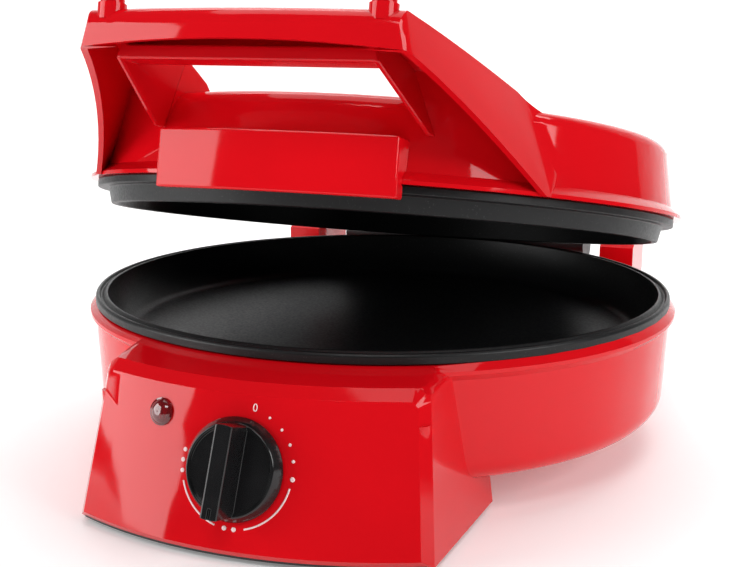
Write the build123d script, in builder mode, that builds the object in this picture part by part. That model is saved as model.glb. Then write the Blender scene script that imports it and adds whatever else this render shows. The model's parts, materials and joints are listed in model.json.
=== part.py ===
from build123d import *
import os
from math import atan, atan2, cos, degrees, hypot, radians, sin, sqrt, tan

os.makedirs("parts", exist_ok=True)

# Pizza maker with a hinged lid. Millimetres, +Z up, table at z = 0, pan axis on Z, control panel towards -Y.
# The lid stands open as in use. Its pieces are drawn in the lid's own frame, which is the plane of its rim.

# Driving sizes: overall
rim_z = 81.0
rim_r = 165.0
wall = 2.6
foot_gap = 2.6

# Driving sizes: bowl of the base
bowl_top_r = rim_r - 2.6
bowl_neck_r = rim_r - 2.8
bowl_low_r = rim_r - 4.8
bowl_depth = 60.0
bowl_corner_r = 12.0
flange_drop = 3.0
flange_lip = 1.8
pan_seat_r = rim_r - 8.1

# Driving sizes: control box
panel_foot_r = rim_r + 43.5
panel_slope = 0.2725
panel_top_drop = 4.5
panel_half_low = 87.4
panel_half_top = 77.6
panel_side_flare = 0.064
panel_half_at_y = -rim_r - 19
box_rear_y = -103.0
panel_corner_r = 9.0
panel_bevel = 4.2

# Driving sizes: rear leg, covers, feet and cord gland
box_top_drop = 0.8
leg_half_low = 84.0
leg_half_top = 78.0
leg_front_y = 104.0
leg_rear_y = 176.0
leg_drop = 12.0
leg_corner_r = 8.0
cover_t = 2.0
cover_gap = 0.3
cover_screw_len = 12.0
boss_r = 4.5
front_boss_top = 62.0
vent_pitch = 11.0
vent_count = 9
vent_len = 34.0
vent_w = 3.0
foot_r = 9.0
foot_stem_r = 3.0
gland_x = 45.0
gland_z = 24.0
gland_r = 6.0
gland_bore_r = 3.6
wire_half = 30.0
wire_h = 28.0
block_x = 55.0
block_y = -148.0
block_len = 34.0
block_w = 14.0
block_h = 11.0

# Driving sizes: knob, lens and thermostat
knob_z = 41.0
knob_r = 23.0
knob_face_r = 20.4
knob_face_h = 5.4
knob_h = 19.5
knob_wall = 2.4
knob_hub_r = 6.0
knob_bore_h = 12.0
knob_grip_w = 8.0
grip_draft = 1.2
pointer_w = 1.4
pointer_len = 5.0
pointer_depth = 1.2
knob_turn = 184.6
knob_gap = 0.5
shaft_r = 3.0
shaft_play = 0.05
shaft_seat = 18.0
neck_r = 4.6
pocket_depth = 2.4
thermostat_x = 14.5
thermostat_h = 30.0
thermostat_depth = 22.0
thermostat_screw_len = 7.0
tab_w = 6.3
tab_len = 5.0
bracket_seat = 8.0
bracket_t = 1.2
bracket_boss_r = 5.5
lens_angle = 12.05
lens_z = 60.0
lens_r = 6.3
lens_rise = 3.0
lens_stem_r = 4.9
lens_stem_h = 8.0
lamp_len = 14.0

# Driving sizes: hinge
hinge_z = 90.0
arm_r = 13.1
arm_inner_x = 101.0
arm_w = 22.0
pin_r = 4.0
pin_play = 0.05
block_half = 86.7
block_r = 13.0
lid_open = 11.8
arm_drop = 16.0
arm_lean = 20.0
arm_low_z = 34.0
arm_root_y = 96.0
arm_neck_y = rim_r - 13
arm_neck_drop = 3.0
arm_step = 8.0
pin_seat = 18.0

# Driving sizes: pans
pan_wall = 2.4
pan_rim_r = rim_r - 3.1
pan_rim_h = 5.2
pan_inner_r = rim_r - 9.6
pan_floor_r = rim_r - 24
pan_depth = 20.0
lid_seat_gap = 0.6
band_r = rim_r - 4
band_h = 4.2
upper_skirt_r = rim_r - 10
upper_lip_r = rim_r - 11.8
upper_lip_drop = 12.6
upper_lip_w = 3.4
upper_floor_r = rim_r - 25
upper_floor_h = 8.0

# Driving sizes: heaters and reflectors
heater_r = 95.0
heater_gap = 1.0
rod_r = 3.25
rod_bend_r = 8.0
rod_gap = 14.0
rod_drop = 21.0
clip_w = 10.0
sheet = 0.8
dish_r = rim_r - 13.2
dish_flare = 3.5
dish_drop = 37.2
dish_rim_drop = 12.0
stud_r = 5.0
stud_ring = 60.0
stud_bore = 9.0
post_r = 6.0
fuse_r = 2.4
fuse_len = 14.0
fuse_y = 40.0

# Driving sizes: screws
screw_r = 2.0
screw_play = 0.05
screw_head_r = 3.8
screw_head_h = 2.2

# Driving sizes: lid and hood
lid_wall = 2.8
dome_top = 50.2
dome_mid_r = 75.0
dome_mid_h = 47.8
dome_corner_r = rim_r - 10.6
dome_corner_h = 39.4
dome_round = 8.0
hood_top = 66.5
bar_y = rim_r + 43
bar_front_y = rim_r + 49
bow_r = 484.0
bow_spare = 1.0
bar_half_low = 84.6
bar_half_top = 68.8
bar_depth = 27.0
wing_root_y = rim_r - 48
wing_half_low = 117.5
wing_half_top = 91.5
grip_half_low = 66.2
grip_half_top = 49.5
apron_half = 58.5
apron_r = rim_r + 2.6
apron_bow_r = 309.0
apron_top = 20.2
apron_bottom = 7.0
button_x = 61.7
button_y = rim_r + 38.6
button_r = 5.2
button_h = 3.0
button_sink = 6.0
button_step = 1.0
hood_ref_h = 70.0
hood_end_low = rim_r - 7
hood_end_top = rim_r - 17.5
hood_turn_low = 28.7
hood_turn_top = 35.0
hood_mid_y = rim_r - 5
hood_mid_h = 57.1
hood_rear_y = rim_r - 45
hood_rear_h = 46.9
hood_end_y = 70.0
hood_end_h = 22.0
hood_round = 8.0
bar_tilt = 0.125
end_round = 7.0
bar_low_h = 48.4
wing_arch_y = rim_r - 4.4
wing_arch_h = 28.2
bar_arch = 3.2
neck_wall_r = rim_r - 7.6
lid_flange_t = 1.8
lid_flare_h = 4.2
lid_wall_r = rim_r - 5.2
liner_t = 2.6
liner_gap = 0.1
liner_front_y = rim_r + 35.5
liner_low_h = 45.0
liner_foot_h = 22.5
liner_foot_y = rim_r - 14.5
lip_h = 6.0
liner_top_h = 59.5
grip_low_h = 22.0
apron_inner_r = rim_r - 11
apron_lip_r = rim_r - 1.8
upper_dish_z = 26.0
upper_dish_rim = 12.0
upper_dish_r = rim_r - 14.5
upper_rod_rise = 19.0
block_front_y = rim_r + 7
block_depth = 34.0
block_low_h = -18.0
block_tall = 30.0
block_round = 6.0
block_arm_low = 3.0
block_arm_high = 15.0
pin_hold = 32.0
pin_end_gap = 0.3
hinge_hole_back = 6.0
hinge_screw_turn = 18.6
hinge_screw_h = 9.5
hinge_screw_len = 12.0
hinge_head_gap = 0.6

# Worked out from the driving sizes
foot_z = foot_gap
panel_top_z = rim_z - panel_top_drop
panel_top_r = panel_foot_r - panel_slope * (panel_top_z - foot_z)
panel_tilt = degrees(atan(panel_slope))
front_y = panel_foot_r - panel_slope * panel_bevel
hinge_y = front_y - arm_r
floor_z = rim_z - bowl_depth
pan_floor_z = rim_z - pan_depth
lid_closed_z = rim_z + pan_rim_h + band_h + lid_seat_gap
leg_top_z = rim_z - leg_drop
leg_mid_y = (leg_front_y + leg_rear_y) / 2
wire_z = rim_z - dish_drop
dish_z = rim_z - dish_drop
dish_low_z = dish_z - sheet
dish_rim_z = rim_z - dish_rim_drop
lower_heater_z = pan_floor_z - pan_wall - heater_gap - rod_r

# The lid's frame: its rim plane, turned about the hinge axis from the closed place
open_rad = radians(lid_open)
arm_to_lid = (-hinge_y, lid_closed_z - hinge_z)
lid_y = hinge_y + arm_to_lid[0] * cos(open_rad) + arm_to_lid[1] * sin(open_rad)
lid_z = hinge_z - arm_to_lid[0] * sin(open_rad) + arm_to_lid[1] * cos(open_rad)
lid_xy = Plane(origin=(0, lid_y, lid_z), x_dir=(1, 0, 0), z_dir=(0, sin(open_rad), cos(open_rad)))
lid_xz = Plane(origin=lid_xy.origin, x_dir=lid_xy.x_dir, z_dir=-lid_xy.y_dir)
lid_yz = Plane(origin=lid_xy.origin, x_dir=lid_xy.y_dir, z_dir=lid_xy.x_dir)
lid_axis = Axis(lid_xy.origin, lid_xy.z_dir)
lid_hinge_z = hinge_z - lid_closed_z


def panel_r(z):
    """Radius of the control panel's face at height z."""
    return panel_foot_r - panel_slope * (z - foot_z)


def on_panel(angle, z, proud):
    """Plane on the panel face, angle degrees right of the middle, its normal outwards."""
    a = radians(angle)
    t = radians(panel_tilt)
    out = Vector(sin(a) * cos(t), -cos(a) * cos(t), sin(t))
    foot = Vector(panel_r(z) * sin(a), -panel_r(z) * cos(a), z)
    return Plane(origin=foot + out * proud, x_dir=(cos(a), sin(a), 0), z_dir=out)


def panel_half(y, z):
    """Half width of the control box at depth y and height z."""
    share = (z - foot_z) / (rim_z - foot_z)
    half = panel_half_low + (panel_half_top - panel_half_low) * share
    return half + (y - panel_half_at_y) * panel_side_flare


def box_outline(z, inset, front, rear):
    """Corner points of the control box in plan at height z."""
    half_f = panel_half(front, z) - inset
    half_r = panel_half(rear, z) - inset
    return [(-half_f, front), (half_f, front), (half_r, rear), (-half_r, rear)]


def box_planes(inset):
    """Side and rear planes of the control box, moved in by the inset, normals outwards."""
    lean = (panel_half_low - panel_half_top) / (rim_z - foot_z)
    planes = [
        Plane(origin=(side * panel_half_low, panel_half_at_y, foot_z), z_dir=(side, -panel_side_flare, lean))
        for side in (-1, 1)
    ]
    planes.append(Plane(origin=(0, box_rear_y, foot_z), z_dir=(0, 1, 0)))
    return [plane.offset(-inset) for plane in planes]


def near(part, *points):
    """The edges of a part whose middles lie nearest to the given points."""
    return [min(part.edges(), key=lambda e: (e.center() - Vector(*p)).length) for p in points]


def upright(plane):
    """Plane through a face plane's normal: local x as before, local y along the normal."""
    return Plane(origin=plane.origin, x_dir=plane.x_dir, z_dir=-plane.y_dir)


def screws(places, seat, length, plane=Plane.XY):
    """Pan head screws on a plane's places, heads below the seat height, shanks upwards."""
    with BuildPart() as group:
        with BuildSketch(plane.offset(seat - screw_head_h)):
            with Locations(*places):
                Circle(screw_head_r)
        extrude(amount=screw_head_h)
        with BuildSketch(plane.offset(seat)):
            with Locations(*places):
                Circle(screw_r)
        extrude(amount=length)
    return group.part


def ring_places(radius, count, start):
    """Points evenly spaced on a circle, the first at the start angle."""
    turns = [radians(start + 360 * i / count) for i in range(count)]
    return [(radius * cos(a), radius * sin(a)) for a in turns]


def rod_ring(radius, z, gap, drop):
    """Heater rod: a ring at height z, open by a gap angle each side of -Y, with two legs down."""
    end = (radius * sin(radians(gap)), -radius * cos(radians(gap)))
    leg = (end[0] - rod_bend_r * cos(radians(gap)), end[1] - rod_bend_r * sin(radians(gap)))
    with BuildPart() as rod:
        with BuildLine() as path:
            Line((leg[0], leg[1], z - drop), (leg[0], leg[1], z - rod_bend_r))
            TangentArc((leg[0], leg[1], z - rod_bend_r), (end[0], end[1], z), tangent=(0, 0, 1))
            CenterArc((0, 0, z), radius, gap - 90, 360 - 2 * gap)
            TangentArc(
                (-end[0], end[1], z),
                (-leg[0], leg[1], z - rod_bend_r),
                tangent=(cos(radians(gap)), -sin(radians(gap)), 0),
            )
            Line((-leg[0], leg[1], z - rod_bend_r), (-leg[0], leg[1], z - drop))
        with BuildSketch(Plane(origin=path.line @ 0, z_dir=path.line % 0)):
            RegularPolygon(rod_r, 8)
        sweep()
    return rod.part


# Places worked out from the sizes
stud_places = ring_places(stud_ring, 3, 90)
leg_shift = rod_bend_r * cos(radians(rod_gap))
leg_places = [
    (
        side * (heater_r * sin(radians(rod_gap)) - leg_shift),
        -heater_r * cos(radians(rod_gap)) - rod_bend_r * sin(radians(rod_gap)),
    )
    for side in (-1, 1)
]
front_boss_places = [(-76, -172), (76, -172)]
mid_boss_places = [(-70, -112), (70, -112), (-62, 113), (62, 113)]
rear_boss_places = [(-70, 166), (70, 166)]
foot_places = [(-56, -180), (56, -180), (-50, 158), (50, 158)]
thermostat_places = [(-thermostat_x, 0), (thermostat_x, 0)]
knob_face = on_panel(0, knob_z, 0)
knob_across = knob_face.x_dir * cos(radians(knob_turn)) - knob_face.y_dir * sin(radians(knob_turn))
knob_plane = Plane(origin=knob_face.origin, x_dir=knob_across, z_dir=knob_face.z_dir)
knob_axis = Axis(knob_plane.origin, knob_plane.z_dir)
lens_plane = on_panel(-lens_angle, lens_z, 0)
upper_heater_z = upper_floor_h + pan_wall + heater_gap + rod_r
upper_dish_top = upper_dish_z + sheet
hinge_screw_planes = []
for turn in (90 - hinge_screw_turn, 90 + hinge_screw_turn):
    across = lid_xy.x_dir * cos(radians(turn)) + lid_xy.y_dir * sin(radians(turn))
    foot = lid_xy.origin + across * (lid_wall_r - 0.8) + lid_xy.z_dir * hinge_screw_h
    hinge_screw_planes.append(Plane(origin=foot, z_dir=across))
gland_plane = Plane(origin=(gland_x, leg_rear_y, gland_z), x_dir=(-1, 0, 0), z_dir=(0, 1, 0))

# Space inside the control box, open below, in front of the bowl
with BuildPart() as front_space:
    with BuildSketch(Plane.XZ):
        Polygon(
            (0, foot_z - 1),
            (panel_foot_r - wall, foot_z - 1),
            (panel_top_r - wall, panel_top_z - wall),
            (rim_r - wall, panel_top_z - wall),
            (0, panel_top_z - wall),
            align=None,
        )
    revolve(axis=Axis.Z)
    for side_plane in box_planes(wall):
        split(bisect_by=side_plane, keep=Keep.BOTTOM)
    with BuildSketch(Plane.XY.offset(floor_z)):
        Circle(bowl_top_r)
    extrude(amount=bowl_depth, mode=Mode.SUBTRACT)

# Space inside the rear leg, open below, behind and under the bowl
with BuildPart() as rear_space:
    for z, half in ((foot_z - 1, leg_half_low), (leg_top_z - wall, leg_half_top)):
        with BuildSketch(Plane.XY.offset(z)):
            with Locations((0, leg_mid_y)):
                Rectangle(2 * (half - wall), leg_rear_y - leg_front_y - 2 * wall)
    loft(ruled=True)
    with BuildSketch(Plane.XY.offset(floor_z)):
        Circle(bowl_top_r)
    extrude(amount=bowl_depth, mode=Mode.SUBTRACT)

# Housing of the base: control box, bowl, rear leg and hinge arms in one moulding
with BuildPart() as base_housing:
    with BuildSketch(Plane.XZ):
        Polygon(
            (bowl_low_r / 2, foot_z),
            (panel_foot_r, foot_z),
            (panel_top_r, panel_top_z),
            (bowl_top_r, rim_z - box_top_drop),
            (bowl_low_r / 2, rim_z - box_top_drop),
            align=None,
        )
    revolve(axis=Axis.Z)
    for side_plane in box_planes(0):
        split(bisect_by=side_plane, keep=Keep.BOTTOM)
    top_mid_r = (panel_top_r + bowl_top_r) / 2
    top_mid_z = (panel_top_z + rim_z) / 2
    top_half = panel_half(-top_mid_r, top_mid_z)
    top_mid_y = -sqrt(top_mid_r**2 - top_half**2)
    fillet(near(base_housing, *[(s * top_half, top_mid_y, top_mid_z) for s in (-1, 1)]), panel_corner_r)
    face_edges = [
        e
        for e in base_housing.edges()
        if e.center().Y < -top_mid_r * 0.85
        and abs(hypot(e.center().X, e.center().Y) - panel_r(e.center().Z)) < panel_bevel + 2
    ]
    chamfer(face_edges, panel_bevel)
    for z, half in ((foot_z, leg_half_low), (leg_top_z, leg_half_top)):
        with BuildSketch(Plane.XY.offset(z)):
            with Locations((0, leg_mid_y)):
                RectangleRounded(2 * half, leg_rear_y - leg_front_y, leg_corner_r)
    loft(ruled=True)
    for side in (-1, 1):
        with BuildSketch(Plane.YZ.offset(side * (arm_inner_x + arm_w / 2))):
            with BuildLine():
                crown = [(hinge_y + arm_r * cos(a), hinge_z + arm_r * sin(a)) for a in map(radians, (110, 55, 0))]
                ThreePointArc(*crown)
                Polyline(
                    crown[2],
                    (hinge_y + arm_r, rim_z - arm_drop),
                    (hinge_y - arm_lean, arm_low_z),
                    (arm_root_y, arm_low_z),
                    (arm_root_y, rim_z - arm_step),
                    (arm_neck_y, rim_z - arm_step),
                    (arm_neck_y, hinge_z - arm_neck_drop),
                    crown[0],
                )
            make_face()
        extrude(amount=arm_w / 2, both=True)
    with BuildSketch(Plane.XZ) as bowl_section:
        with BuildLine():
            corner_in = (bowl_low_r - bowl_corner_r, floor_z)
            Polyline(
                corner_in,
                (0, floor_z),
                (0, rim_z),
                (bowl_top_r - 0.4, rim_z),
                (bowl_top_r, rim_z - 0.4),
                (rim_r, rim_z - flange_drop),
                (rim_r, rim_z - flange_drop - flange_lip),
                (bowl_neck_r, rim_z - 2 * flange_drop - flange_lip),
                (bowl_low_r, floor_z + bowl_corner_r),
            )
            ThreePointArc(
                (bowl_low_r, floor_z + bowl_corner_r),
                (
                    bowl_low_r - bowl_corner_r * (1 - cos(radians(45))),
                    floor_z + bowl_corner_r * (1 - sin(radians(45))),
                ),
                corner_in,
            )
        make_face()
    revolve(axis=Axis.Z)
    with BuildSketch(Plane.XZ):
        with BuildLine():
            inner_r = bowl_low_r - wall
            turn_r = bowl_corner_r - wall
            Polyline(
                (inner_r - turn_r, floor_z + wall),
                (0, floor_z + wall),
                (0, rim_z + 1),
                (pan_seat_r, rim_z + 1),
                (pan_seat_r, rim_z - flange_drop),
                (bowl_neck_r - wall, rim_z - 2 * flange_drop - flange_lip),
                (inner_r, floor_z + bowl_corner_r),
                (inner_r - turn_r * (1 - cos(radians(45))), floor_z + wall + turn_r * (1 - sin(radians(45)))),
                (inner_r - turn_r, floor_z + wall),
            )
        make_face()
    revolve(axis=Axis.Z, mode=Mode.SUBTRACT)
    add(front_space.part, mode=Mode.SUBTRACT)
    add(rear_space.part, mode=Mode.SUBTRACT)

    # Posts under the reflector, and bosses for the cover screws
    with BuildSketch(Plane.XY.offset(floor_z + wall / 2)):
        with Locations(*stud_places):
            Circle(post_r)
    extrude(amount=dish_low_z - floor_z - wall / 2)
    with BuildSketch(Plane.XY.offset(floor_z)):
        with Locations(*stud_places):
            Circle(screw_r + screw_play)
    extrude(amount=dish_low_z - floor_z, mode=Mode.SUBTRACT)
    for places, top in (
        (front_boss_places, front_boss_top),
        (rear_boss_places, leg_top_z - wall / 2),
        (mid_boss_places, floor_z + wall / 2),
    ):
        with BuildSketch(Plane.XY.offset(foot_z + cover_t)):
            with Locations(*places):
                Circle(boss_r)
        extrude(amount=top - foot_z - cover_t)
        with BuildSketch(Plane.XY.offset(foot_z + cover_t)):
            with Locations(*places):
                Circle(screw_r + screw_play)
        extrude(amount=cover_screw_len, mode=Mode.SUBTRACT)

    # Ways for the wires through the bowl's wall, to the control box and to the rear leg
    with Locations((0, -bowl_low_r, wire_z), (0, bowl_low_r, wire_z)):
        Box(2 * wire_half, 4 * wall, wire_h, mode=Mode.SUBTRACT)

    # Thermostat bosses, and the holes for its neck, its screws, the lens and the gland
    with BuildSketch(knob_face.offset(-bracket_seat)):
        with Locations(*thermostat_places):
            Circle(bracket_boss_r)
    extrude(amount=bracket_seat - wall / 2)
    with BuildSketch(knob_plane.offset(1)):
        Circle(neck_r + 0.6)
    extrude(amount=-wall - 2, mode=Mode.SUBTRACT)
    with BuildSketch(knob_plane.offset(1)):
        with Locations(*thermostat_places):
            Circle(screw_head_r + 0.2)
    extrude(amount=-1 - pocket_depth, mode=Mode.SUBTRACT)
    with BuildSketch(knob_plane.offset(1)):
        with Locations(*thermostat_places):
            Circle(screw_r + screw_play)
    extrude(amount=-1 - bracket_seat, mode=Mode.SUBTRACT)
    with BuildSketch(lens_plane.offset(1)):
        Circle(lens_stem_r + 0.1)
    extrude(amount=-wall - 2, mode=Mode.SUBTRACT)
    with BuildSketch(gland_plane.offset(1)):
        Circle(gland_r + 0.1)
    extrude(amount=-wall - 2, mode=Mode.SUBTRACT)

    # Blind bores of the hinge arms
    for side in (-1, 1):
        with BuildSketch(Plane.YZ.offset(side * arm_inner_x)):
            with Locations((hinge_y, hinge_z)):
                Circle(pin_r + pin_play)
        extrude(amount=side * pin_seat, mode=Mode.SUBTRACT)
base_housing.part.label = "base_housing"
export_step(base_housing.part, "parts/base_housing.step")

# Bottom covers of the control box and of the rear leg, with vents and holes for screws and feet
with BuildPart() as front_cover:
    with BuildSketch(Plane.XY.offset(foot_z)):
        Polygon(*box_outline(foot_z, wall + cover_gap, -panel_foot_r, box_rear_y - wall - cover_gap), align=None)
        Circle(panel_r(foot_z + cover_t) - wall - 2 * cover_gap, mode=Mode.INTERSECT)
        with Locations(*front_boss_places, *mid_boss_places[:2]):
            Circle(screw_r + screw_play, mode=Mode.SUBTRACT)
        with Locations(*foot_places[:2]):
            Circle(foot_stem_r + screw_play, mode=Mode.SUBTRACT)
        with Locations((0, (box_rear_y - panel_foot_r) / 2)):
            with GridLocations(vent_pitch, 1, vent_count, 1):
                SlotOverall(vent_len, vent_w, rotation=90, mode=Mode.SUBTRACT)
    extrude(amount=cover_t)
front_cover.part.label = "front_cover"
export_step(front_cover.part, "parts/front_cover.step")

with BuildPart() as rear_cover:
    with BuildSketch(Plane.XY.offset(foot_z)):
        with Locations((0, leg_mid_y)):
            Rectangle(
                2 * (leg_half_low - wall - 2 * cover_gap),
                leg_rear_y - leg_front_y - 2 * (wall + cover_gap),
            )
        with Locations(*rear_boss_places, *mid_boss_places[2:]):
            Circle(screw_r + screw_play, mode=Mode.SUBTRACT)
        with Locations(*foot_places[2:]):
            Circle(foot_stem_r + screw_play, mode=Mode.SUBTRACT)
        with Locations((0, leg_mid_y)):
            with GridLocations(vent_pitch, 1, vent_count - 4, 1):
                SlotOverall(vent_len * 0.7, vent_w, rotation=90, mode=Mode.SUBTRACT)
    extrude(amount=cover_t)
rear_cover.part.label = "rear_cover"
export_step(rear_cover.part, "parts/rear_cover.step")

cover_places = front_boss_places + rear_boss_places + mid_boss_places
cover_screws = screws(cover_places, foot_z, cover_t + cover_screw_len - 1)
cover_screws.label = "cover_screws"
export_step(cover_screws, "parts/cover_screws.step")

with BuildPart() as rubber_feet:
    with BuildSketch():
        with Locations(*foot_places):
            Circle(foot_r)
    extrude(amount=foot_gap)
    chamfer(rubber_feet.edges().group_by(Axis.Z)[0], 0.8)
    with BuildSketch(Plane.XY.offset(foot_gap)):
        with Locations(*foot_places):
            Circle(foot_stem_r)
    extrude(amount=cover_t - 0.2)
rubber_feet.part.label = "rubber_feet"
export_step(rubber_feet.part, "parts/rubber_feet.step")

# Lower pan: stepped rim, sloping wall, three threaded studs underneath
with BuildPart() as lower_pan:
    with BuildSketch(Plane.XZ):
        with BuildLine():
            Polyline(
                (0, pan_floor_z),
                (pan_floor_r, pan_floor_z),
                (pan_floor_r + 6, pan_floor_z + 3.5),
                (pan_inner_r - 1.2, rim_z - 3.2),
                (pan_inner_r, rim_z + pan_rim_h),
                (pan_inner_r + 1, rim_z + pan_rim_h),
                (pan_inner_r + 3, rim_z + 3.2),
                (pan_inner_r + 3.9, rim_z + 3.2),
                (pan_rim_r - 2, rim_z + pan_rim_h - 0.2),
                (pan_rim_r - 0.9, rim_z + pan_rim_h - 0.2),
                (pan_rim_r, rim_z + pan_rim_h - 1.4),
                (pan_rim_r, rim_z),
                (pan_seat_r - 0.3, rim_z),
                (pan_seat_r - 0.5, rim_z - 3.5),
                (pan_floor_r + 9, pan_floor_z + 2),
                (pan_floor_r + 1.8, pan_floor_z - pan_wall),
                (0, pan_floor_z - pan_wall),
                close=True,
            )
        make_face()
    revolve(axis=Axis.Z)
    with BuildSketch(Plane.XY.offset(dish_z)):
        with Locations(*stud_places):
            Circle(stud_r)
    extrude(amount=pan_floor_z - pan_wall / 2 - dish_z)
    with BuildSketch(Plane.XY.offset(dish_z)):
        with Locations(*stud_places):
            Circle(screw_r + screw_play)
    extrude(amount=stud_bore, mode=Mode.SUBTRACT)
lower_pan.part.label = "lower_pan"
export_step(lower_pan.part, "parts/lower_pan.step")

lower_pan_screws = screws(stud_places, floor_z, dish_z + stud_bore - 1 - floor_z)
lower_pan_screws.label = "lower_pan_screws"
export_step(lower_pan_screws, "parts/lower_pan_screws.step")

# Reflector dish under the lower heater
with BuildPart() as lower_reflector:
    with BuildSketch(Plane.XZ):
        Polygon(
            (0, dish_low_z),
            (dish_r, dish_low_z),
            (dish_r + dish_flare, dish_rim_z),
            (dish_r + dish_flare - sheet, dish_rim_z),
            (dish_r - sheet, dish_z),
            (0, dish_z),
            align=None,
        )
    revolve(axis=Axis.Z)
    with BuildSketch(Plane.XY.offset(dish_low_z)):
        with Locations(*stud_places):
            Circle(screw_r + screw_play)
        with Locations(*leg_places):
            Circle(rod_r + 1)
    extrude(amount=sheet, mode=Mode.SUBTRACT)
lower_reflector.part.label = "lower_reflector"
export_step(lower_reflector.part, "parts/lower_reflector.step")

lower_heater = rod_ring(heater_r, lower_heater_z, rod_gap, rod_drop)
lower_heater.label = "lower_heater"
export_step(lower_heater, "parts/lower_heater.step")

# Cradles that carry the heater rod on the reflector
with BuildPart() as lower_heater_clips:
    for place in ring_places(heater_r, 3, 30):
        with BuildSketch(Plane.XY.offset(dish_z)):
            with Locations(place):
                Rectangle(clip_w, clip_w)
        extrude(amount=lower_heater_z + 1 - dish_z)
    with BuildSketch(Plane.XZ):
        with Locations((heater_r, lower_heater_z)):
            Circle(rod_r + screw_play)
    revolve(axis=Axis.Z, mode=Mode.SUBTRACT)
lower_heater_clips.part.label = "lower_heater_clips"
export_step(lower_heater_clips.part, "parts/lower_heater_clips.step")

# Thermal fuse in its sleeve, lying on the reflector, with a lead at each end
with BuildPart() as thermal_fuse:
    with BuildSketch(Plane.YZ):
        with Locations((fuse_y, dish_z + fuse_r)):
            Circle(fuse_r)
    extrude(amount=fuse_len / 2, both=True)
    with BuildSketch(Plane.YZ):
        with Locations((fuse_y, dish_z + fuse_r)):
            Circle(fuse_r / 4)
    extrude(amount=fuse_len, both=True)
thermal_fuse.part.label = "thermal_fuse"
export_step(thermal_fuse.part, "parts/thermal_fuse.step")

# Thermostat behind the panel, on a bracket across the two bosses, its neck through the panel
with BuildPart() as thermostat_bracket:
    with BuildSketch(knob_plane.offset(-bracket_seat - bracket_t)):
        RectangleRounded(2 * (thermostat_x + bracket_boss_r), thermostat_h + 6, 3)
        Circle(neck_r + 0.3, mode=Mode.SUBTRACT)
        with Locations(*thermostat_places):
            Circle(screw_r + screw_play, mode=Mode.SUBTRACT)
    extrude(amount=bracket_t)
thermostat_bracket.part.label = "thermostat_bracket"
export_step(thermostat_bracket.part, "parts/thermostat_bracket.step")

with BuildPart() as thermostat:
    with BuildSketch(knob_plane.offset(-bracket_seat - bracket_t)):
        RectangleRounded(2 * (thermostat_x + 4.5), thermostat_h, 4)
    extrude(amount=-thermostat_depth)
    with BuildSketch(knob_plane.offset(-bracket_seat - bracket_t)):
        Circle(neck_r)
    extrude(amount=bracket_seat + bracket_t - pocket_depth)
    with BuildSketch(knob_plane.offset(-pocket_depth)):
        Circle(shaft_r + shaft_play)
    extrude(amount=-shaft_seat - 0.3, mode=Mode.SUBTRACT)
    with BuildSketch(knob_plane.offset(-bracket_seat - bracket_t)):
        with Locations(*thermostat_places):
            Circle(screw_r + screw_play)
    extrude(amount=-thermostat_screw_len, mode=Mode.SUBTRACT)
    with BuildSketch(knob_plane.offset(-bracket_seat - bracket_t - thermostat_depth)):
        with Locations((-8, 0), (8, 0)):
            Rectangle(sheet, tab_w)
    extrude(amount=-tab_len)
thermostat.part.label = "thermostat"
export_step(thermostat.part, "parts/thermostat.step")

thermostat_shank = bracket_seat + bracket_t - pocket_depth + thermostat_screw_len - 1
thermostat_screws = screws(thermostat_places, pocket_depth, thermostat_shank, Plane(
    origin=knob_plane.origin, x_dir=knob_plane.x_dir, z_dir=-knob_plane.z_dir
))
thermostat_screws.label = "thermostat_screws"
export_step(thermostat_screws, "parts/thermostat_screws.step")

with BuildPart() as knob_shaft:
    with BuildSketch(knob_plane.offset(-pocket_depth - shaft_seat)):
        Circle(shaft_r)
    extrude(amount=pocket_depth + shaft_seat + knob_bore_h - 0.5)
knob_shaft.part.label = "knob_shaft"
export_step(knob_shaft.part, "parts/knob_shaft.step")

# Knob: conical skirt, raised rim round a dished face, grip ridge across it with a pointer slot
with BuildPart() as knob_grip:
    with BuildSketch(upright(knob_plane)):
        Polygon(
            (-knob_grip_w / 2 - grip_draft, knob_gap + 1),
            (knob_grip_w / 2 + grip_draft, knob_gap + 1),
            (knob_grip_w / 2, knob_h),
            (-knob_grip_w / 2, knob_h),
            align=None,
        )
    extrude(amount=knob_r, both=True)
    with BuildSketch(knob_plane):
        Circle(knob_face_r)
    extrude(amount=knob_h + 1, mode=Mode.INTERSECT)
    grip_edges = [
        e for e in knob_grip.edges() if e.length > knob_r and knob_plane.to_local_coords(e.center()).Z > knob_h - 0.5
    ]
    chamfer(grip_edges, 0.6)
with BuildPart() as control_knob:
    with BuildSketch(upright(knob_plane)):
        Polygon(
            (0, knob_gap),
            (knob_r, knob_gap),
            (knob_r, knob_gap + 1.2),
            (knob_face_r + 0.5, knob_face_h + 0.3),
            (knob_face_r, knob_face_h + 0.8),
            (knob_face_r - 1, knob_face_h + 0.8),
            (knob_face_r - 1.6, knob_face_h),
            (0, knob_face_h),
            align=None,
        )
    revolve(axis=knob_axis)
    add(knob_grip.part)
    with BuildSketch(upright(knob_plane)):
        Polygon(
            (knob_hub_r, 0),
            (knob_r - knob_wall, 0),
            (knob_face_r - knob_wall, knob_face_h - knob_wall),
            (knob_hub_r, knob_face_h - knob_wall),
            align=None,
        )
    revolve(axis=knob_axis, mode=Mode.SUBTRACT)
    with BuildSketch(knob_plane):
        Circle(shaft_r + 0.02)
    extrude(amount=knob_bore_h, mode=Mode.SUBTRACT)
    with BuildSketch(knob_plane.offset(knob_h)):
        with Locations((0, knob_face_r)):
            Rectangle(pointer_w, 2 * pointer_len)
    extrude(amount=-pointer_depth, mode=Mode.SUBTRACT)
control_knob.part.label = "control_knob"
export_step(control_knob.part, "parts/control_knob.step")

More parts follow.
